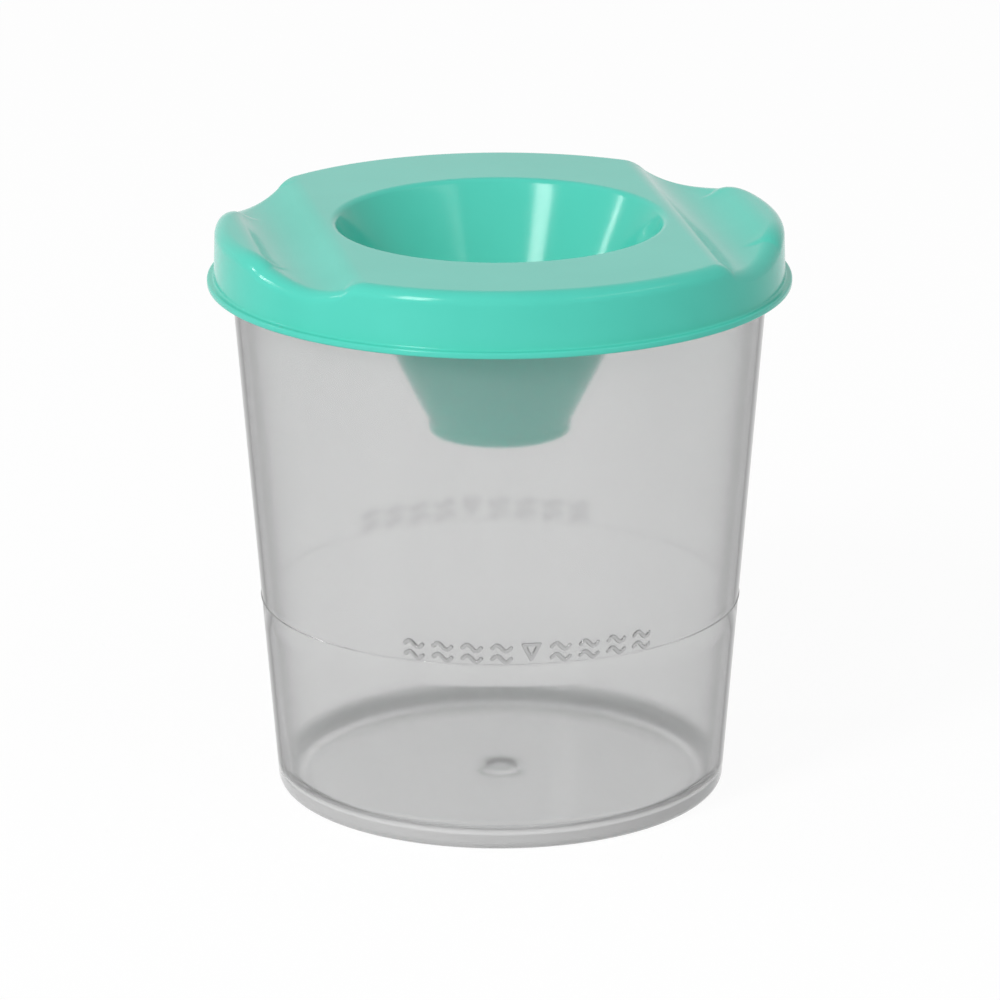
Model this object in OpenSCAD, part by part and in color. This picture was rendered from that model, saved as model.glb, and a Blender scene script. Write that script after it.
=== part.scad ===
// A water cup for rinsing paint brushes, with a lift-off lid.
// The lid has a funnel that keeps the water in when the cup tips over, and two troughs for brushes.
// The origin is the centre of the foot, +Z is up, and the troughs run along Y.

/* [Cup] */
// Height of the cup from its foot to its rim
cup_h = 86.2; // [72:0.1:120]
// Outer diameter at the foot, where the straight wall would reach it
foot_d = 69.3; // [58:0.1:78]
// Outer diameter of the straight wall at the rim
mouth_d = 83.1; // [79:0.1:96]
// Thickness of the cup's wall
cup_wall = 1.5; // [1:0.1:2.2]
// Thickness of the cup's floor
floor_t = 1.2; // [0.8:0.1:3]
// Radius of the outer corner between the wall and the foot
foot_round = 1.7; // [0.6:0.1:3]
// Radius of the inner corner between the wall and the floor
floor_round = 3.8; // [1:0.1:6]
// Height of the recess inside the foot ring
foot_recess = 0.3; // [0.2:0.05:0.8]
// Width of the foot ring
foot_ring_w = 2.4; // [1.2:0.1:5]

/* [Rim of the cup] */
// How far the bead round the rim stands out from the wall
bead_out = 0.5; // [0.3:0.05:1.2]
// Height of the bead
bead_h = 2; // [1.6:0.1:4]
// Radius of the rim's two rounded edges
rim_ease = 0.4; // [0.1:0.05:0.6]

/* [Gate mark] */
// Diameter of the dome in the middle of the floor
gate_d = 5.2; // [3:0.1:10]
// Height of the dome
gate_h = 0.7; // [0.2:0.05:1]

/* [Fill line and marks] */
// Height of the fill line above the foot
level_z = 30.6; // [20:0.2:60]
// Height of the fill line's ridge
line_w = 0.3; // [0.2:0.05:0.8]
// How far the fill line stands out from the wall
line_out = 0.12; // [0.05:0.01:0.3]
// Gap between the fill line and the marks over it
mark_gap = 0.25; // [0.2:0.05:1]
// Height of the marks
mark_h = 3.4; // [2.4:0.1:6]
// Width of a mark
mark_w = 3.4; // [2.4:0.1:3.8]
// Width of a mark's strokes
stroke_w = 0.65; // [0.3:0.05:0.7]
// How far the marks stand out from the wall
mark_out = 0.3; // [0.1:0.05:0.5]
// Angle from one mark to the next
mark_pitch = 6.9; // [6.6:0.1:9]
// Number of wave marks on each side of the pointer
wave_marks = 4; // [1:1:6]
// Height of a wave's crest over its middle line
wave_amp = 0.5; // [0.2:0.05:0.6]
// Angle from the lid's front to the pointer
mark_turn = -3.5; // [-180:0.5:180]

/* [Lid] */
// Thickness of the lid's walls
lid_wall = 1.4; // [1:0.1:1.8]
// Height from the underside of the flange to the lid's top
skirt_h = 9.6; // [7:0.1:14]
// How much wider the skirt is at its foot than at its top, on each side
skirt_draft = 0.2; // [0:0.05:0.5]
// How far the flange stands out from the skirt
flange_w = 1.05; // [0.5:0.05:2.5]
// Thickness of the flange
flange_t = 1; // [0.6:0.05:2]
// Radius of the flange's rounded edges
flange_ease = 0.3; // [0.1:0.05:0.3]
// Radius of the rounded edge round the lid's top
top_round = 1.6; // [0.8:0.1:2.5]

/* [Brush troughs] */
// Depth of a trough
trough_depth = 2.4; // [1.5:0.1:4]
// Radius of a trough's hollow
hollow_r = 8.1; // [5:0.1:9]
// Radius of a trough's two shoulders
shoulder_r = 4.1; // [3:0.1:7]
// Width of the flat between the funnel's lip and a trough
trough_land = 0.05; // [0.05:0.05:1.5]

/* [Funnel] */
// Diameter of the funnel's mouth, where its cone would reach the lid's top
well_d = 50.4; // [40:0.2:52]
// Bore of the funnel's throat
throat_d = 19; // [12:0.2:26]
// Height of the funnel from its foot to the lid's top
funnel_h = 33.2; // [24:0.2:44]
// Height of the straight collar at the funnel's foot
collar_h = 2; // [1:0.1:6]
// Radius of the rounded lip of the funnel's mouth
lip_round = 1.2; // [0.5:0.1:1.5]

/* [Fits] */
// Gap between the cup's rim and the troughs that rest on it
seat_gap = 0.1; // [0.05:0.05:0.5]
// Gap all round between the cup's bead and the lid's skirt
skirt_gap = 0.15; // [0.1:0.05:0.5]

/* [Hidden] */
$fn = 96;
// Straight pieces in an outline's round stretch, and in one wave
arc_steps = 8;
wave_steps = 6;
// How far a cut runs past the face that it opens
past = 1;
cup_color = [0.77, 0.77, 0.77, 0.55];
lid_color = [0.38, 0.82, 0.74];

foot_r = foot_d / 2;
wall_lean = (mouth_d / 2 - foot_r) / cup_h;
wall_angle = atan(wall_lean);
wall_across = cup_wall / cos(wall_angle);
floor_z = foot_recess + floor_t;
bead_r = mouth_d / 2 + bead_out;
gate_r = gate_d / 2;
dome_r = (gate_r * gate_r + gate_h * gate_h) / (2 * gate_h);
dome_angle = asin(gate_r / dome_r);

skirt_in_r = bead_r + skirt_gap;
skirt_r = skirt_in_r + lid_wall;
flange_r = skirt_r + skirt_draft + flange_w;
top_z = cup_h + seat_gap + lid_wall + trough_depth;
flange_z = top_z - skirt_h;

well_r = well_d / 2;
throat_r = throat_d / 2;
collar_r = throat_r + lid_wall;
funnel_z = top_z - funnel_h;
cone_z = funnel_z + collar_h;
cone_lean = (well_r - throat_r) / (top_z - cone_z);
cone_angle = atan(cone_lean);
cone_across = lid_wall / cos(cone_angle);
collar_z = cone_z - (cone_across - lid_wall) / cone_lean;
lip_reach = lip_round * tan((90 - cone_angle) / 2);
lip_r = well_r + lip_reach;

shoulder_x = sqrt(pow(hollow_r + shoulder_r, 2) - pow(hollow_r + shoulder_r - trough_depth, 2));
shoulder_angle = asin(shoulder_x / (hollow_r + shoulder_r));
trough_x = lip_r + trough_land + shoulder_x;

// Points along an arc about [x, y], from angle a to angle b
function arc(x, y, r, a, b) =
    [for (i = [0 : arc_steps]) let (t = a + (b - a) * i / arc_steps) [x + r * cos(t), y + r * sin(t)]];

// Radius of the cup's wall at a height, on the outside and on the inside
function cup_out(z) = foot_r + wall_lean * z;
function cup_in(z) = cup_out(z) - wall_across;

// Centre of a corner of radius r between a floor at height z and a wall line that starts at radius x
function corner_x(x, z, r) = x + ((z + r) * sin(wall_angle) - r) / cos(wall_angle);

// Radius of the funnel's cone at a height, on the inside and on the outside
function cone_in(z) = well_r - cone_lean * (top_z - z);
function cone_out(z) = cone_in(z) + cone_across;

// The cup's section, from the middle of its underside round its rim to the middle of its floor
module cup_section() {
    foot_x = corner_x(foot_r, 0, foot_round);
    floor_x = corner_x(foot_r - wall_across, floor_z, floor_round);
    ring_x = foot_x - foot_ring_w;
    polygon(concat(
        arc(0, foot_recess + gate_h - dome_r, dome_r, 90, 90 - dome_angle),
        [[ring_x - foot_recess, foot_recess], [ring_x, 0]],
        arc(foot_x, foot_round, foot_round, -90, -wall_angle),
        [[cup_out(level_z - line_w / 2), level_z - line_w / 2],
         [cup_out(level_z) + line_out, level_z],
         [cup_out(level_z + line_w / 2), level_z + line_w / 2],
         [cup_out(cup_h - bead_h), cup_h - bead_h],
         [bead_r, cup_h - bead_h + bead_out]],
        arc(bead_r - rim_ease, cup_h - rim_ease, rim_ease, 0, 90),
        arc(cup_in(cup_h) + rim_ease, cup_h - rim_ease, rim_ease, 90, 180),
        arc(floor_x, floor_z + floor_round, floor_round, -wall_angle, -90),
        arc(0, floor_z + gate_h - dome_r, dome_r, 90 - dome_angle, 90)
    ));
}

// A point along one edge of a wave stroke: side is 1 for its upper edge and -1 for its lower
function wave_point(i, side) =
    let (turn = 360 * i / wave_steps,
         slope = wave_amp * cos(turn) * 2 * PI / mark_w,
         half = side * stroke_w / 2 / norm([1, slope]))
    [mark_w * (i / wave_steps - 0.5) - half * slope, wave_amp * sin(turn) + half];

// One wave stroke, a whole wave long
module wave_stroke() {
    polygon(concat(
        [for (i = [0 : wave_steps]) wave_point(i, 1)],
        [for (i = [wave_steps : -1 : 0]) wave_point(i, -1)]
    ));
}

// Two wave strokes, one over the other
module wave_mark() {
    low_y = wave_amp + stroke_w / 2;
    translate([0, low_y]) wave_stroke();
    translate([0, mark_h - low_y]) wave_stroke();
}

// A triangle drawn in outline that stands on its tip
module pointer_mark() {
    tip_angle = atan(mark_w / 2 / mark_h);
    tip_in = stroke_w / sin(tip_angle);
    base_in = (mark_h - stroke_w - tip_in) * tan(tip_angle);
    difference() {
        polygon([[0, 0], [mark_w / 2, mark_h], [-mark_w / 2, mark_h]]);
        polygon([[0, tip_in], [base_in, mark_h - stroke_w], [-base_in, mark_h - stroke_w]]);
    }
}

// Stands a flat mark up at an angle round the cup, reaching in and out through its wall
module stood_up(angle) {
    rotate([0, 0, angle])
        translate([0, 0, level_z + mark_gap])
            rotate([90, 0, 0])
                translate([0, 0, cup_in(level_z)])
                    linear_extrude(height = wall_across + 2 * mark_out + past) children();
}

// The skin on the cup's wall that the marks are cut from
module mark_skin() {
    low_z = level_z;
    high_z = level_z + 2 * mark_gap + mark_h;
    sunk = cup_wall / 3;
    rotate_extrude()
        polygon([[cup_out(low_z) - sunk, low_z], [cup_out(low_z) + mark_out, low_z],
                 [cup_out(high_z) + mark_out, high_z], [cup_out(high_z) - sunk, high_z]]);
}

// A row of waves either side of a pointer, on the front of the cup and on its back
module marks() {
    intersection() {
        mark_skin();
        union() {
            for (face = [0, 180]) {
                stood_up(mark_turn + face) pointer_mark();
                for (i = [1 : wave_marks], side = [-1, 1])
                    stood_up(mark_turn + face + side * i * mark_pitch) wave_mark();
            }
        }
    }
}

module cup() {
    color(cup_color) {
        rotate_extrude() cup_section();
        marks();
    }
}

// The space over a trough, cut from the lid's top. With a depth under the top, the space over the
// trough's underside, so that the trough keeps the lid's wall
module trough(under) {
    hollow = hollow_r + under;
    shoulder = shoulder_r - under;
    hollow_z = top_z - trough_depth + hollow_r;
    shoulder_z = top_z - shoulder_r;
    rotate([90, 0, 0])
        linear_extrude(height = 2 * (flange_r + past), center = true)
            polygon(concat(
                [[shoulder_x, top_z + past], [-shoulder_x, top_z + past]],
                arc(-shoulder_x, shoulder_z, shoulder, 90, 90 - shoulder_angle),
                arc(0, hollow_z, hollow, 270 - shoulder_angle, 270 + shoulder_angle),
                arc(shoulder_x, shoulder_z, shoulder, 90 + shoulder_angle, 90)
            ));
}

module troughs(under) {
    for (side = [-1, 1]) translate([side * trough_x, 0, 0]) trough(under);
}

// The lid's section with the space under it filled in
module lid_section() {
    polygon(concat(
        [[throat_r, funnel_z], [collar_r, funnel_z], [collar_r, collar_z], [cone_out(flange_z), flange_z]],
        arc(flange_r - flange_ease, flange_z + flange_ease, flange_ease, -90, 0),
        arc(flange_r - flange_ease, flange_z + flange_t - flange_ease, flange_ease, 0, 90),
        [[skirt_r + skirt_draft, flange_z + flange_t]],
        arc(skirt_r - top_round, top_z - top_round, top_round, 0, 90),
        arc(lip_r, top_z - lip_round, lip_round, 90, 180 - cone_angle),
        [[throat_r, cone_z]]
    ));
}

// The section of the space under the lid, between its skirt and its funnel
module under_section() {
    low_z = flange_z - past;
    high_z = top_z - lid_wall;
    polygon([[cone_out(low_z), low_z], [skirt_in_r + skirt_draft, low_z],
             [skirt_in_r, high_z], [cone_out(high_z), high_z]]);
}

module lid() {
    color(lid_color)
        difference() {
            rotate_extrude() lid_section();
            troughs(0);
            difference() {
                rotate_extrude() under_section();
                troughs(lid_wall);
            }
        }
}

cup();
lid();
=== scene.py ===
"""The looks of a brush washer: a frosted translucent cup under a glossy mint lid, on a pale floor."""

import math

import bpy
import numpy as np
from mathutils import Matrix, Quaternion, Vector


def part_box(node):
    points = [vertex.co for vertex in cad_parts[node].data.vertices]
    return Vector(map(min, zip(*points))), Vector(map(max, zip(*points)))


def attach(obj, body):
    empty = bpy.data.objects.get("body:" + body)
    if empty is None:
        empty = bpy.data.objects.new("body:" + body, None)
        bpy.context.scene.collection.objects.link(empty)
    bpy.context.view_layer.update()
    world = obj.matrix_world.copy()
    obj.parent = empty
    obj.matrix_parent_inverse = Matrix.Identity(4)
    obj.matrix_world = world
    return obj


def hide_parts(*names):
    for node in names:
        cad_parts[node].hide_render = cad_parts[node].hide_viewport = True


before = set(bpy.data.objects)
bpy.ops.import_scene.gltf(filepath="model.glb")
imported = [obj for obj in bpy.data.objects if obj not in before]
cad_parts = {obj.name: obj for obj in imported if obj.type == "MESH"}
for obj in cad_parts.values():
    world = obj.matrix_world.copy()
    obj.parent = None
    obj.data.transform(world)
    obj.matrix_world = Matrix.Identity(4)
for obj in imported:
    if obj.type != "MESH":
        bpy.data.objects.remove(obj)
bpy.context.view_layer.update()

# Millimetres to metres
MM = 0.001

# How far the lid stays inside the box that the frame gives it, in millimetres
HAIR = 0.005

# Heights and radii read from the frame, in millimetres
cup_low, cup_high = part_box("cup")
lid_low, lid_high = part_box("lid")
RIM_Z = cup_high.z / MM
TOP_Z = lid_high.z / MM - HAIR
FUNNEL_Z = lid_low.z / MM
FLANGE_R = min(lid_high.x, lid_high.y) / MM - HAIR

# The cup, in millimetres
FOOT_R = 34.65
MOUTH_R = 41.55
CUP_WALL = 1.5
FLOOR_T = 1.2
FOOT_ROUND = 1.7
FLOOR_ROUND = 3.8
FOOT_RECESS = 0.3
FOOT_RING_W = 2.4
FOOT_EASE = 0.2
BEAD_OUT = 0.5
BEAD_H = 2.0
BEAD_EASE = 0.3
RIM_EASE = 0.4
GATE_R = 2.6
GATE_H = 0.7

# The fill line and the marks over it, in millimetres and degrees
LEVEL_Z = 30.6
LINE_W = 0.3
LINE_OUT = 0.12
MARK_GAP = 0.25
MARK_H = 3.4
MARK_W = 3.4
STROKE_W = 0.65
STROKE_EDGE = 0.12
MARK_OUT = 0.3
MARK_PITCH = 6.9
WAVE_MARKS = 4
WAVE_AMP = 0.5
MARK_TURN = -3.5

# The lid, in millimetres. TOP_ROUND, the round of its top edge, is a little larger than the frame's
LID_WALL = 1.4
SKIRT_H = 9.6
FLANGE_W = 1.05
FLANGE_T = 1.0
FLANGE_EASE = 0.3
FLANGE_CORNER = 0.35
SKIRT_DRAFT = 0.2
TOP_ROUND = 2.1
TROUGH_DEPTH = 2.4
HOLLOW_R = 8.1
SHOULDER_R = 4.1
TROUGH_LAND = 0.05
WELL_R = 25.2
THROAT_R = 9.5
COLLAR_H = 2.0
LIP_ROUND = 1.2
COLLAR_ROUND = 0.5
CONE_IN_ROUND = 2.0
CONE_OUT_ROUND = 1.6
UNDER_ROUND = 0.4
EASE_W = 3.0

# Worked out from the sizes above
WALL_LEAN = (MOUTH_R - FOOT_R) / RIM_Z
WALL_ANGLE = math.atan(WALL_LEAN)
WALL_ACROSS = CUP_WALL / math.cos(WALL_ANGLE)
FLOOR_Z = FOOT_RECESS + FLOOR_T
BEAD_R = MOUTH_R + BEAD_OUT
SKIRT_R = FLANGE_R - FLANGE_W - SKIRT_DRAFT
SKIRT_IN_R = SKIRT_R - LID_WALL
FLANGE_Z = TOP_Z - SKIRT_H
CONE_Z = FUNNEL_Z + COLLAR_H
CONE_LEAN = (WELL_R - THROAT_R) / (TOP_Z - CONE_Z)
CONE_ANGLE = math.atan(CONE_LEAN)
CONE_ACROSS = LID_WALL / math.cos(CONE_ANGLE)
LIP_R = WELL_R + LIP_ROUND * math.tan((math.pi / 2 - CONE_ANGLE) / 2)
SHOULDER_X = math.sqrt((HOLLOW_R + SHOULDER_R) ** 2 - (HOLLOW_R + SHOULDER_R - TROUGH_DEPTH) ** 2)
SHOULDER_ANGLE = math.asin(SHOULDER_X / (HOLLOW_R + SHOULDER_R))
TROUGH_X = LIP_R + TROUGH_LAND + SHOULDER_X

# The plastics: the two colours that each clouds between, roughness, refraction and absorption
LID_COLOURS = ((0.080, 0.605, 0.482), (0.092, 0.635, 0.510))
LID_ROUGHNESS = (0.12, 0.18)
LID_IOR = 1.3
CUP_COLOURS = ((0.85, 0.85, 0.85), (0.87, 0.87, 0.87))
CUP_ROUGHNESS = (0.09, 0.12)
CUP_IOR = 1.4
CUP_ABSORPTION = 30

# Most of a noise texture's values lie between these
NOISE_LOW = 0.3
NOISE_HIGH = 0.7

# How much painted shade darkens the cup's plastic: at a low angle, on its raised strokes and in its inner
# corner; and how much its foot ring is darkened
EDGE_SHADE_POWER = 7.0
EDGE_SHADE_SHARE = 4.0
STROKE_SHADE_SHARE = 0.3
STROKE_SIDE_SHADE_SHARE = 0.75
CORNER_SHADE_SHARE = 0.1
FOOT_SHARE = 0.22

# How clear the cup's plastic is up its wall and in its foot ring, and the heights and radii between
WALL_CLEARNESS = 0.9
FOOT_CLEARNESS = 0.25
CLOUDY_Z = 2.6
CLEAR_Z = 4.2
CLOUDY_R = 33.0
CLEAR_R = 32.0

# Mesh density: the lid's columns, the degrees between the cup's columns outside and inside the marks,
# the height of the rows there in millimetres, and the angle where the gate's domes stop near the axis
LID_COLUMNS = 720
CUP_STEP = 1.0
MARK_STEP = 0.16
MARK_ROW = 0.09
DOME_END = 88

# The camera: its distance from the point that it looks at, its bearing and its lens
CAMERA_DISTANCE = 0.9635
CAMERA_AZIMUTH = -10.7
CAMERA_ROLL = 0.12
CAMERA_ELEVATION = 17.26
CAMERA_LENS = 223.8
CAMERA_AIM_Z = 0.0451

# The world's light: its lowest and highest level, and where it is brightest, from the camera's bearing
WORLD_LOW = 0.28
WORLD_HIGH = 0.9
WORLD_BRIGHTEST = (-12, 5)

# The floor where it is seen: its white level, and the share of that over the lit floor with its shadow
FLOOR_WHITE = 1.022
FLOOR_WHITE_SHARE = 0.92

# How far the lamps stand from the object, in metres
LAMP_DISTANCE = 1.5


def arc(x, y, r, a, b, n):
    """n points along an arc about (x, y), from angle a to angle b in degrees."""
    t = np.radians(np.linspace(a, b, n))
    return np.column_stack([x + r * np.cos(t), y + r * np.sin(t)])


def line(p, q, n):
    """n points from p towards q, without q."""
    t = np.linspace(0, 1, n, endpoint=False)[:, None]
    return np.array(p) * (1 - t) + np.array(q) * t


def rounded(p, corner, q, r, n):
    """n points along the arc of radius r that rounds a corner between the lines to p and to q."""
    p, corner, q = (np.array(v, float) for v in (p, corner, q))
    a = (p - corner) / np.linalg.norm(p - corner)
    b = (q - corner) / np.linalg.norm(q - corner)
    half = math.acos(float(np.clip(a @ b, -1, 1))) / 2
    middle = (a + b) / np.linalg.norm(a + b)
    centre = corner + middle * r / math.sin(half)
    start = corner + a * r / math.tan(half) - centre
    end = corner + b * r / math.tan(half) - centre
    first = math.atan2(start[1], start[0])
    turn = math.atan2(end[1], end[0]) - first
    turn = (turn + math.pi) % (2 * math.pi) - math.pi
    t = first + turn * np.linspace(0, 1, n)
    return centre + r * np.column_stack([np.cos(t), np.sin(t)])


def turned(name, r, z, angles, closed, kept=None):
    """A turned mesh. r and z have a row for each station of the section and a column for each angle.
    A closed section is a ring; an open one starts and ends on the axis. kept holds named values that
    the points keep for the material."""
    rows, columns = r.shape
    x = r * np.cos(angles)
    y = r * np.sin(angles)
    points = np.stack([x, y, z], axis=2).reshape(-1, 3) * MM
    grid = np.arange(rows * columns).reshape(rows, columns)
    beside = np.roll(grid, -1, axis=1)
    if closed:
        above, above_beside = np.roll(grid, -1, axis=0), np.roll(beside, -1, axis=0)
        quads = np.stack([grid, beside, above_beside, above], axis=2).reshape(-1, 4)
        faces = quads.tolist()
    else:
        quads = np.stack([grid[:-1], beside[:-1], beside[1:], grid[1:]], axis=2).reshape(-1, 4)
        ends = np.array([[0, 0, z[0, 0]], [0, 0, z[-1, 0]]]) * MM
        points = np.vstack([points, ends])
        first, last = rows * columns, rows * columns + 1
        faces = quads.tolist()
        faces += [[first, b, a] for a, b in zip(grid[0].tolist(), beside[0].tolist())]
        faces += [[last, a, b] for a, b in zip(grid[-1].tolist(), beside[-1].tolist())]
    mesh = bpy.data.meshes.new(name)
    mesh.from_pydata(points.tolist(), [], faces)
    for label, values in (kept or {}).items():
        values = np.append(values.reshape(-1), [0, 0])
        mesh.attributes.new(label, "FLOAT", "POINT").data.foreach_set("value", values)
    mesh.validate()
    mesh.shade_smooth()
    piece = bpy.data.objects.new(name, mesh)
    bpy.context.scene.collection.objects.link(piece)
    return piece


def cup_out(z):
    """Radius of the cup's wall on the outside, at a height."""
    return FOOT_R + WALL_LEAN * z


def cup_section():
    """The cup's section, from the middle of its underside round its rim to the middle of its floor. With
    it, which points are level with the marks, and how strong the painted shade is at each point in the inner
    corner of the floor."""
    lean = math.degrees(WALL_ANGLE)
    in_x = FOOT_R - WALL_ACROSS
    foot_x = FOOT_R + (FOOT_ROUND * math.sin(WALL_ANGLE) - FOOT_ROUND) / math.cos(WALL_ANGLE)
    corner_z = FLOOR_Z + FLOOR_ROUND
    corner_x = in_x + (corner_z * math.sin(WALL_ANGLE) - FLOOR_ROUND) / math.cos(WALL_ANGLE)
    ring_x = foot_x - FOOT_RING_W
    dome_r = (GATE_R**2 + GATE_H**2) / (2 * GATE_H)
    dome = math.degrees(math.asin(GATE_R / dome_r))
    band_low, band_high = LEVEL_Z + LINE_W, LEVEL_Z + 2 * MARK_GAP + MARK_H
    band_rows = round((band_high - band_low) / MARK_ROW)
    wall_top = RIM_Z - BEAD_H
    rim_in = cup_out(RIM_Z) - WALL_ACROSS

    def wall(z0, z1, n):
        return line([cup_out(z0), z0], [cup_out(z1), z1], n)

    ridge_z = np.linspace(LEVEL_Z - LINE_W / 2, LEVEL_Z + LINE_W / 2, 9)
    ridge = np.column_stack([
        cup_out(ridge_z) + LINE_OUT * np.cos((ridge_z - LEVEL_Z) / LINE_W * math.pi) ** 2,
        ridge_z,
    ])
    parts = [
        arc(0, FOOT_RECESS + GATE_H - dome_r, dome_r, DOME_END, 90 - dome, 8),
        line([GATE_R + 0.4, FOOT_RECESS], [ring_x - 2 * FOOT_RECESS, FOOT_RECESS], 6),
        rounded([GATE_R, FOOT_RECESS], [ring_x - FOOT_RECESS, FOOT_RECESS], [ring_x, 0], FOOT_EASE, 4),
        rounded([ring_x - FOOT_RECESS, FOOT_RECESS], [ring_x, 0], [foot_x, 0], FOOT_EASE, 4),
        arc(foot_x, FOOT_ROUND, FOOT_ROUND, -90, -lean, 14),
        wall(FOOT_ROUND + 1, LEVEL_Z - LINE_W, 8),
        ridge,
        wall(band_low, band_high, band_rows),
        wall(band_high, wall_top - 1, 10),
        wall(wall_top - 0.5, wall_top, 2),
        rounded([BEAD_R - BEAD_OUT, wall_top], [BEAD_R, wall_top + BEAD_OUT], [BEAD_R, RIM_Z], BEAD_EASE, 4),
        arc(BEAD_R - RIM_EASE, RIM_Z - RIM_EASE, RIM_EASE, 0, 90, 7),
        arc(rim_in + RIM_EASE, RIM_Z - RIM_EASE, RIM_EASE, 90, 180, 7),
        line([rim_in - WALL_LEAN, RIM_Z - 1], [corner_x + FLOOR_ROUND + WALL_LEAN, corner_z + 1], 10),
        arc(corner_x, corner_z, FLOOR_ROUND, -lean, -90, 18),
        line([corner_x - 0.5, FLOOR_Z], [GATE_R + 0.6, FLOOR_Z], 10),
        arc(0, FLOOR_Z + GATE_H - dome_r, dome_r, 90 - dome, DOME_END, 8),
    ]
    section = np.vstack(parts)

    # The painted shade in the inner corner is strongest past the middle of its arc, towards the floor
    right, down = section[:, 0] - corner_x, corner_z - section[:, 1]
    on_corner = (np.abs(np.hypot(right, down) - FLOOR_ROUND) < 0.01) & (right > 0) & (down > 0)
    turn = np.arctan2(down, right)
    corner = np.where(on_corner, 1.5 * (np.sin(2 * turn) * np.sin(turn)) ** 2, 0)
    in_band = (section[:, 0] > cup_out(section[:, 1]) - 0.01) & (section[:, 1] >= band_low)
    in_band &= section[:, 1] <= band_high
    return section, in_band, corner


def stroke_lines():
    """The middle lines of the marks' strokes on one face, as points across and up from the pointer's tip."""
    inset = STROKE_W / 2
    tip_half = math.atan(MARK_W / 2 / MARK_H)
    tip = [0, inset / math.sin(tip_half)]
    reach = (MARK_H - inset - tip[1]) * math.tan(tip_half)
    corners = [tip, [reach, MARK_H - inset], [-reach, MARK_H - inset], tip]
    lines = [np.array(corners)]
    t = np.linspace(-0.5, 0.5, 25)
    pitch = math.radians(MARK_PITCH) * cup_out(LEVEL_Z)
    for i in range(1, WAVE_MARKS + 1):
        for side in (-1, 1):
            for middle in (WAVE_AMP + inset, MARK_H - WAVE_AMP - inset):
                across = side * i * pitch + t * (MARK_W - STROKE_W)
                lines.append(np.column_stack([across, middle - WAVE_AMP * np.sin(2 * math.pi * t)]))
    return lines


def distance_to(lines, across, up):
    """Distance from each point to the nearest of the lines."""
    nearest = np.full(across.shape, 1e9)
    for points in lines:
        for (x0, y0), (x1, y1) in zip(points[:-1], points[1:]):
            dx, dy = x1 - x0, y1 - y0
            t = np.clip(((across - x0) * dx + (up - y0) * dy) / (dx * dx + dy * dy), 0, 1)
            nearest = np.minimum(nearest, np.hypot(across - x0 - t * dx, up - y0 - t * dy))
    return nearest


def smooth(t):
    """An even step from 0 to 1."""
    t = np.clip(t, 0, 1)
    return t * t * (3 - 2 * t)


def make_cup():
    """The cup with its marks raised out of its wall."""
    section, in_band, corner = cup_section()
    span = (WAVE_MARKS + 0.7) * MARK_PITCH
    front = MARK_TURN - 90
    angles = []
    for face in (0, 180):
        angles.append(np.arange(front + face - span, front + face + span, MARK_STEP))
        angles.append(np.arange(front + face + span, front + face + 180 - span, CUP_STEP))
    angles = np.concatenate(angles)
    r = np.repeat(section[:, :1], len(angles), axis=1)
    z = np.repeat(section[:, 1:], len(angles), axis=1)
    relief = np.zeros(r.shape)
    lines = stroke_lines()
    rows = np.nonzero(in_band)[0]
    for face in (0, 180):
        turn = (angles - front - face + 180) % 360 - 180
        columns = np.nonzero(np.abs(turn) <= span)[0]
        across = np.radians(turn[columns])[None, :] * cup_out(LEVEL_Z)
        up = z[np.ix_(rows, columns)] - LEVEL_Z - MARK_GAP
        across = np.broadcast_to(across, up.shape)
        depth = STROKE_W / 2 - distance_to(lines, across, up)
        relief[np.ix_(rows, columns)] = smooth(depth / STROKE_EDGE)
    # The points keep the strokes' relief and the strength of the painted shade in the inner corner
    kept = {"relief": relief, "corner": np.repeat(corner[:, None], len(angles), axis=1)}
    return turned("cup_body", r + MARK_OUT * relief, z, np.radians(angles), False, kept)


def lid_height(x, under=0.0):
    """Height of the lid's top at a distance x across the troughs, or of the surface a depth under it."""
    a = np.abs(np.abs(x) - TROUGH_X)
    shoulder, hollow = SHOULDER_R - under, HOLLOW_R + under
    change = hollow * math.sin(SHOULDER_ANGLE)
    high = TOP_Z - SHOULDER_R + np.sqrt(np.maximum(shoulder**2 - (SHOULDER_X - a) ** 2, 0))
    low = TOP_Z - TROUGH_DEPTH + HOLLOW_R - np.sqrt(np.maximum(hollow**2 - a**2, 0))
    return np.where(a >= SHOULDER_X, TOP_Z - under, np.where(a > change, high, low))


def cone_in(z):
    """Radius of the funnel's inside, at a height."""
    return WELL_R - CONE_LEAN * (TOP_Z - z)


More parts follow.
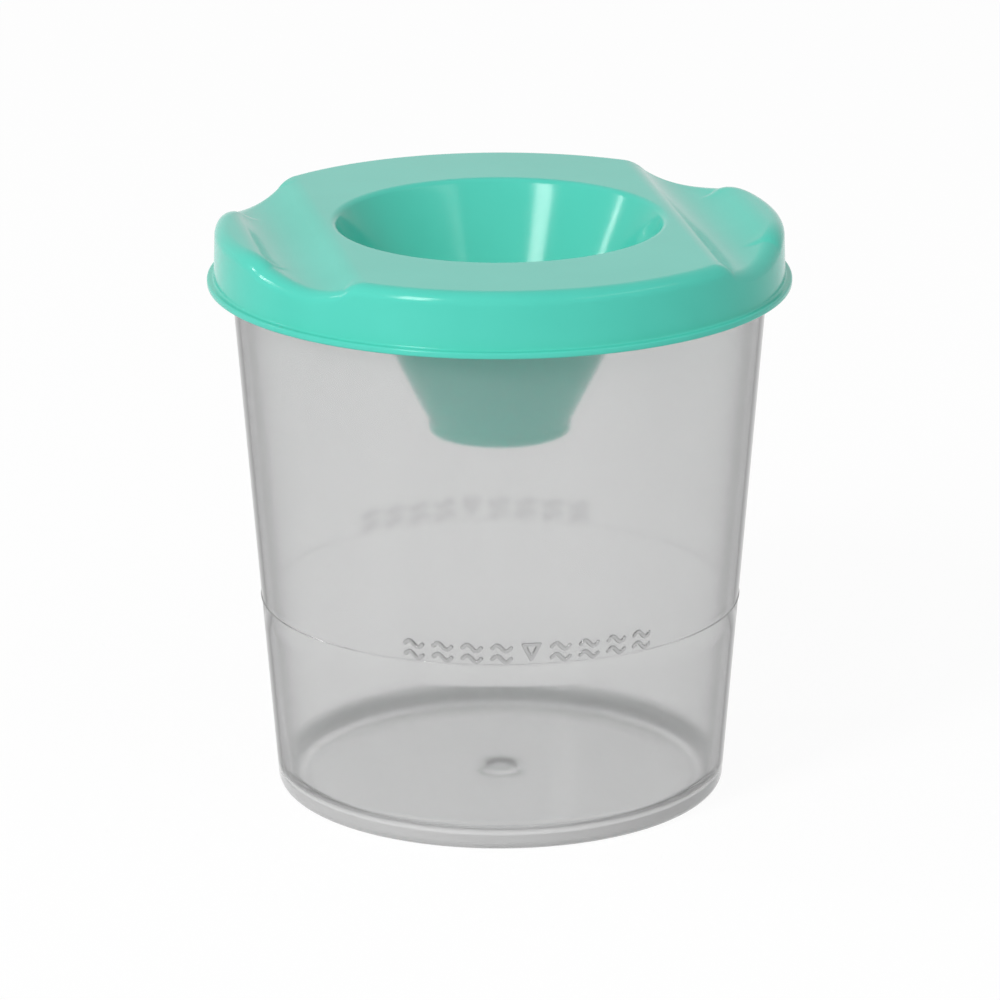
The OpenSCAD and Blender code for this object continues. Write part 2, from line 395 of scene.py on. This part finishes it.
def make_lid():
    """The lid: its troughs run straight across it and its rounded edge rolls down over their ends."""
    angles = np.linspace(0, 2 * math.pi, LID_COLUMNS, endpoint=False)
    across = np.cos(angles)
    ring = np.ones(LID_COLUMNS)

    # The rounded edge at each angle, tangent to the skirt and to the top's slope there
    edge_x = SKIRT_R - TOP_ROUND
    step = 0.01
    slope = lid_height((edge_x + step) * across) - lid_height((edge_x - step) * across)
    slope = slope / (2 * step)
    tilt = np.arctan(slope)
    edge_z = lid_height(edge_x * across) - TOP_ROUND / np.cos(tilt)

    def fixed(points):
        """The same section all the way round."""
        return points[:, :1] * ring, points[:, 1:] * ring

    flange_top = FLANGE_Z + FLANGE_T
    skirt_foot = SKIRT_R + SKIRT_DRAFT
    low_parts = np.vstack([
        line([SKIRT_IN_R + SKIRT_DRAFT, FLANGE_Z], [FLANGE_R - FLANGE_EASE, FLANGE_Z], 4),
        arc(FLANGE_R - FLANGE_EASE, FLANGE_Z + FLANGE_EASE, FLANGE_EASE, -90, 0, 6),
        arc(FLANGE_R - FLANGE_EASE, flange_top - FLANGE_EASE, FLANGE_EASE, 0, 90, 6),
        rounded([FLANGE_R, flange_top], [skirt_foot, flange_top], [skirt_foot, TOP_Z], FLANGE_CORNER, 8),
    ])
    parts = [fixed(low_parts)]

    share = np.linspace(0.08, 0.96, 10)[:, None]
    skirt_z = flange_top + FLANGE_CORNER + share * (edge_z - flange_top - FLANGE_CORNER)
    parts.append((skirt_foot - SKIRT_DRAFT * share * ring, skirt_z))

    turn = np.linspace(0, 1, 14)[:, None] * (math.pi / 2 + tilt)
    parts.append((edge_x + TOP_ROUND * np.cos(turn), edge_z + TOP_ROUND * np.sin(turn)))

    # The top from the rounded edge to the funnel's lip, eased into the edge where the top curves
    start_x = edge_x - TOP_ROUND * np.sin(tilt)
    start_z = edge_z + TOP_ROUND * np.cos(tilt)
    share = np.linspace(0, 1, 96)[1:, None]
    top_x = start_x + share * (LIP_R - start_x)
    miss = start_z - lid_height(start_x * across)
    ease = 1 - smooth((start_x - top_x) / EASE_W)
    parts.append((top_x, lid_height(top_x * across) + miss * ease))

    collar_r = THROAT_R + LID_WALL
    under_z = TOP_Z - LID_WALL
    cone_out = CONE_ACROSS + cone_in(under_z)
    kink_z = CONE_Z - (CONE_ACROSS - LID_WALL) / CONE_LEAN
    funnel = np.vstack([
        arc(LIP_R, TOP_Z - LIP_ROUND, LIP_ROUND, 90, 180 - math.degrees(CONE_ANGLE), 12)[1:],
        line([cone_in(TOP_Z - 2), TOP_Z - 2], [cone_in(CONE_Z + 2), CONE_Z + 2], 12),
        rounded([WELL_R, TOP_Z], [THROAT_R, CONE_Z], [THROAT_R, FUNNEL_Z], CONE_IN_ROUND, 8),
        rounded([THROAT_R, CONE_Z], [THROAT_R, FUNNEL_Z], [collar_r, FUNNEL_Z], COLLAR_ROUND, 6),
        rounded([THROAT_R, FUNNEL_Z], [collar_r, FUNNEL_Z], [collar_r, kink_z], COLLAR_ROUND, 6),
        rounded([collar_r, FUNNEL_Z], [collar_r, kink_z], [cone_out, under_z], CONE_OUT_ROUND, 8),
        line([collar_r + 2 * CONE_LEAN, kink_z + 2], [cone_out, under_z], 12),
        rounded([collar_r, kink_z], [cone_out, under_z], [SKIRT_IN_R, under_z], UNDER_ROUND, 5),
    ])
    parts.append(fixed(funnel))

    share = np.linspace(0, 1, 50)[:, None]
    under_x = cone_out + 0.6 + share * (SKIRT_IN_R - cone_out - 0.6) * ring
    parts.append((under_x, lid_height(under_x * across, LID_WALL)))
    last_z = parts[-1][1][-1]
    share = np.linspace(0, 1, 6)[1:-1, None]
    parts.append((SKIRT_IN_R + SKIRT_DRAFT * share * ring, last_z + share * (FLANGE_Z - last_z)))

    r = np.vstack([p[0] for p in parts])
    z = np.vstack([p[1] for p in parts])
    return turned("lid_body", r, z, angles, True)


def nodes_of(material):
    """A material's node tree, its nodes and its links."""
    material.use_nodes = True
    tree = material.node_tree
    return tree, tree.nodes, tree.links


def noise(tree, scale, detail, coordinates, stretch=(1, 1, 1)):
    """Noise over the piece's own coordinates, in metres."""
    mapping = tree.nodes.new("ShaderNodeMapping")
    mapping.inputs["Scale"].default_value = stretch
    tree.links.new(coordinates, mapping.inputs["Vector"])
    texture = tree.nodes.new("ShaderNodeTexNoise")
    texture.inputs["Scale"].default_value = scale
    texture.inputs["Detail"].default_value = detail
    tree.links.new(mapping.outputs["Vector"], texture.inputs["Vector"])
    return texture.outputs["Fac"]


def spread(tree, value, from_low, from_high, to_low, to_high):
    """A value spread evenly from one range to another, and held at its ends."""
    node = tree.nodes.new("ShaderNodeMapRange")
    node.inputs["From Min"].default_value = from_low
    node.inputs["From Max"].default_value = from_high
    node.inputs["To Min"].default_value = to_low
    node.inputs["To Max"].default_value = to_high
    tree.links.new(value, node.inputs["Value"])
    return node.outputs["Result"]


def ranged(tree, value, low, high):
    """Noise spread from low to high."""
    return spread(tree, value, NOISE_LOW, NOISE_HIGH, low, high)


def tinted(tree, value, low, high):
    """A colour between two, by noise."""
    ramp = tree.nodes.new("ShaderNodeValToRGB")
    ramp.color_ramp.elements[0].position = NOISE_LOW
    ramp.color_ramp.elements[0].color = (*low, 1)
    ramp.color_ramp.elements[1].position = NOISE_HIGH
    ramp.color_ramp.elements[1].color = (*high, 1)
    tree.links.new(value, ramp.inputs["Fac"])
    return ramp.outputs["Color"]


def bumped(tree, value, strength, distance):
    """A surface direction with small bumps, as high in metres as the distance says."""
    node = tree.nodes.new("ShaderNodeBump")
    node.inputs["Strength"].default_value = strength
    node.inputs["Distance"].default_value = distance
    tree.links.new(value, node.inputs["Height"])
    return node.outputs["Normal"]


def lid_plastic():
    """Glossy moulded plastic: faint clouding in the colour, faint waves in the gloss."""
    material = bpy.data.materials.new("mint_plastic")
    tree, nodes, links = nodes_of(material)
    shader = nodes["Principled BSDF"]
    where = nodes.new("ShaderNodeTexCoord").outputs["Object"]
    cloud = noise(tree, 60, 2, where)
    links.new(tinted(tree, cloud, *LID_COLOURS), shader.inputs["Base Color"])
    grain = noise(tree, 900, 3, where)
    links.new(ranged(tree, grain, *LID_ROUGHNESS), shader.inputs["Roughness"])
    links.new(bumped(tree, noise(tree, 160, 2, where), 0.12, 0.00006), shader.inputs["Normal"])
    shader.inputs["IOR"].default_value = LID_IOR
    return material


def calculated(tree, operation, *values):
    """One step of arithmetic on numbers and sockets, kept between 0 and 1."""
    node = tree.nodes.new("ShaderNodeMath")
    node.operation = operation
    node.use_clamp = True
    for socket, value in zip(node.inputs, values):
        if isinstance(value, float):
            socket.default_value = value
        else:
            tree.links.new(value, socket)
    return node.outputs[0]


def darkened(tree, colour, share):
    """A colour with a share of it taken away."""
    mix = tree.nodes.new("ShaderNodeMix")
    mix.data_type = "RGBA"
    # Inputs 6 and 7 and output 2 of this node are its colours
    tree.links.new(share, mix.inputs["Factor"])
    tree.links.new(colour, mix.inputs[6])
    mix.inputs[7].default_value = (0, 0, 0, 1)
    return mix.outputs[2]


def point_value(tree, label):
    """A value that the mesh keeps on its points."""
    node = tree.nodes.new("ShaderNodeAttribute")
    node.attribute_name = label
    return node.outputs["Fac"]


def in_foot_ring(tree, where):
    """1 in the thick ring at the cup's foot, 0 elsewhere."""
    parts = tree.nodes.new("ShaderNodeSeparateXYZ")
    tree.links.new(where, parts.inputs["Vector"])
    flat = tree.nodes.new("ShaderNodeVectorMath")
    flat.operation = "MULTIPLY"
    flat.inputs[1].default_value = (1, 1, 0)
    tree.links.new(where, flat.inputs[0])
    radius = tree.nodes.new("ShaderNodeVectorMath")
    radius.operation = "LENGTH"
    tree.links.new(flat.outputs["Vector"], radius.inputs[0])
    low = spread(tree, parts.outputs["Z"], CLOUDY_Z * MM, CLEAR_Z * MM, 1, 0)
    out = spread(tree, radius.outputs["Value"], CLEAR_R * MM, CLOUDY_R * MM, 0, 1)
    return calculated(tree, "MULTIPLY", low, out)


def cup_plastic():
    """Frosted translucent plastic, with flow marks from its moulding up the wall. Its colour has painted
    shade where it is seen at a low angle, and on the raised strokes, most of all on their sides."""
    material = bpy.data.materials.new("frosted_plastic")
    tree, nodes, links = nodes_of(material)
    shader = nodes["Principled BSDF"]
    where = nodes.new("ShaderNodeTexCoord").outputs["Object"]
    flow = noise(tree, 70, 2, where, (1, 1, 0.2))
    colour = tinted(tree, flow, *CUP_COLOURS)

    # Painted shade where the plastic is seen at a low angle, except in the foot ring
    weight = nodes.new("ShaderNodeLayerWeight")
    edge_shade = calculated(tree, "POWER", weight.outputs["Facing"], EDGE_SHADE_POWER)
    edge_shade = calculated(tree, "MULTIPLY", edge_shade, EDGE_SHADE_SHARE)
    foot = in_foot_ring(tree, where)
    above_foot = calculated(tree, "SUBTRACT", 1.0, foot)
    colour = darkened(tree, colour, calculated(tree, "MULTIPLY", edge_shade, above_foot))
    colour = darkened(tree, colour, calculated(tree, "MULTIPLY", foot, FOOT_SHARE))
    # Painted shade in the inner corner of the floor
    corner = point_value(tree, "corner")
    colour = darkened(tree, colour, calculated(tree, "MULTIPLY", corner, CORNER_SHADE_SHARE))

    # Painted shade on the raised strokes, most on their sides. Half-way up a stroke's side the product is a
    # quarter, and four times that is the whole share
    top = point_value(tree, "relief")
    side = calculated(tree, "MULTIPLY", top, calculated(tree, "SUBTRACT", 1.0, top))
    side = calculated(tree, "MULTIPLY", side, STROKE_SIDE_SHADE_SHARE * 4)
    top = calculated(tree, "MULTIPLY", top, STROKE_SHADE_SHARE)
    colour = darkened(tree, colour, calculated(tree, "MAXIMUM", top, side))

    links.new(colour, shader.inputs["Base Color"])
    links.new(ranged(tree, noise(tree, 500, 2, where), *CUP_ROUGHNESS), shader.inputs["Roughness"])
    links.new(bumped(tree, flow, 0.1, 0.00005), shader.inputs["Normal"])
    clearness = spread(tree, foot, 0, 1, WALL_CLEARNESS, FOOT_CLEARNESS)
    links.new(clearness, shader.inputs["Transmission Weight"])
    shader.inputs["IOR"].default_value = CUP_IOR
    inside = nodes.new("ShaderNodeVolumeAbsorption")
    inside.inputs["Color"].default_value = (0, 0, 0, 1)
    inside.inputs["Density"].default_value = CUP_ABSORPTION
    links.new(inside.outputs["Volume"], nodes["Material Output"].inputs["Volume"])
    return material


def seen_as_background(tree):
    """1 for rays from the camera and for rays off or through glossy and clear surfaces, otherwise 0."""
    path = tree.nodes.new("ShaderNodeLightPath")
    value = path.outputs["Is Camera Ray"]
    for name in ("Is Glossy Ray", "Is Transmission Ray"):
        value = calculated(tree, "MAXIMUM", value, path.outputs[name])
    return value


def make_world():
    """A world that is white where it is seen. It lights the object softly, most from the camera's side."""
    world = bpy.data.worlds.new("studio")
    bpy.context.scene.world = world
    world.use_nodes = True
    tree = world.node_tree
    where = tree.nodes.new("ShaderNodeTexCoord").outputs["Generated"]
    toward = tree.nodes.new("ShaderNodeVectorMath")
    toward.operation = "DOT_PRODUCT"
    toward.inputs[1].default_value = bearing(*WORLD_BRIGHTEST)
    tree.links.new(where, toward.inputs[0])
    level = spread(tree, toward.outputs["Value"], 0, 1, WORLD_LOW, WORLD_HIGH)
    light = tree.nodes["Background"]
    light.inputs["Color"].default_value = (1, 1, 1, 1)
    tree.links.new(level, light.inputs["Strength"])
    white = tree.nodes.new("ShaderNodeBackground")
    white.inputs["Color"].default_value = (1, 1, 1, 1)
    white.inputs["Strength"].default_value = 1.0
    mix = tree.nodes.new("ShaderNodeMixShader")
    tree.links.new(seen_as_background(tree), mix.inputs["Fac"])
    tree.links.new(light.outputs[0], mix.inputs[1])
    tree.links.new(white.outputs[0], mix.inputs[2])
    tree.links.new(mix.outputs[0], tree.nodes["World Output"].inputs["Surface"])


def make_floor():
    """A pale floor that is white where it is seen and keeps a faint shadow."""
    bpy.ops.mesh.primitive_circle_add(vertices=96, radius=6, fill_type="NGON")
    floor = bpy.context.object
    floor.name = "floor"
    material = bpy.data.materials.new("pale_floor")
    tree, nodes, links = nodes_of(material)
    shader = nodes["Principled BSDF"]
    shader.inputs["Base Color"].default_value = (0.85, 0.85, 0.85, 1)
    shader.inputs["Roughness"].default_value = 0.9
    shader.inputs["Specular IOR Level"].default_value = 0
    white = nodes.new("ShaderNodeEmission")
    white.inputs["Strength"].default_value = FLOOR_WHITE
    weight = calculated(tree, "MULTIPLY", seen_as_background(tree), FLOOR_WHITE_SHARE)
    mix = nodes.new("ShaderNodeMixShader")
    links.new(weight, mix.inputs["Fac"])
    links.new(shader.outputs[0], mix.inputs[1])
    links.new(white.outputs[0], mix.inputs[2])
    links.new(mix.outputs[0], nodes["Material Output"].inputs["Surface"])
    floor.data.materials.append(material)


def bearing(azimuth, elevation):
    """The direction at an azimuth from the camera's own, positive to its right, and an elevation."""
    a = math.radians(CAMERA_AZIMUTH + azimuth)
    e = math.radians(elevation)
    return Vector((math.sin(a) * math.cos(e), -math.cos(a) * math.cos(e), math.sin(e)))


def softbox(name, azimuth, elevation, wide, tall, level):
    """A rectangular lamp, seen from the object as wide and as tall in degrees as given, with its level."""
    aim = Vector((0, 0, CAMERA_AIM_Z))
    data = bpy.data.lights.new(name, "AREA")
    data.shape = "RECTANGLE"
    data.size = 2 * LAMP_DISTANCE * math.tan(math.radians(wide / 2))
    data.size_y = 2 * LAMP_DISTANCE * math.tan(math.radians(tall / 2))
    data.energy = level * math.pi * data.size * data.size_y
    lamp = bpy.data.objects.new(name, data)
    lamp.location = aim + bearing(azimuth, elevation) * LAMP_DISTANCE
    lamp.rotation_euler = (lamp.location - aim).to_track_quat("Z", "Y").to_euler()
    bpy.context.scene.collection.objects.link(lamp)


def make_camera():
    """The camera, aimed at the middle of the object and rolled a little."""
    data = bpy.data.cameras.new("camera")
    data.lens = CAMERA_LENS
    data.clip_start, data.clip_end = 0.01, 50
    camera = bpy.data.objects.new("camera", data)
    aim = Vector((0, 0, CAMERA_AIM_Z))
    camera.location = aim + bearing(0, CAMERA_ELEVATION) * CAMERA_DISTANCE
    turn = (camera.location - aim).to_track_quat("Z", "Y")
    roll = Quaternion((0, 0, 1), math.radians(-CAMERA_ROLL))
    camera.rotation_euler = (turn @ roll).to_euler()
    bpy.context.scene.collection.objects.link(camera)
    bpy.context.scene.camera = camera


bpy.context.scene.view_settings.view_transform = "Standard"
make_camera()
make_world()
make_floor()

# Each lamp's azimuth, elevation, width and height, in degrees, and its level
softbox("key", -37, 37, 11, 20, 20.0)
softbox("fill", 60, 41, 40, 5, 4.0)
softbox("strip", -102, 25, 3, 14, 24.0)

cup = make_cup()
cup.data.materials.append(cup_plastic())
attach(cup, "cup")
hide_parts("cup")

lid = make_lid()
lid.data.materials.append(lid_plastic())
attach(lid, "lid")
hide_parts("lid")
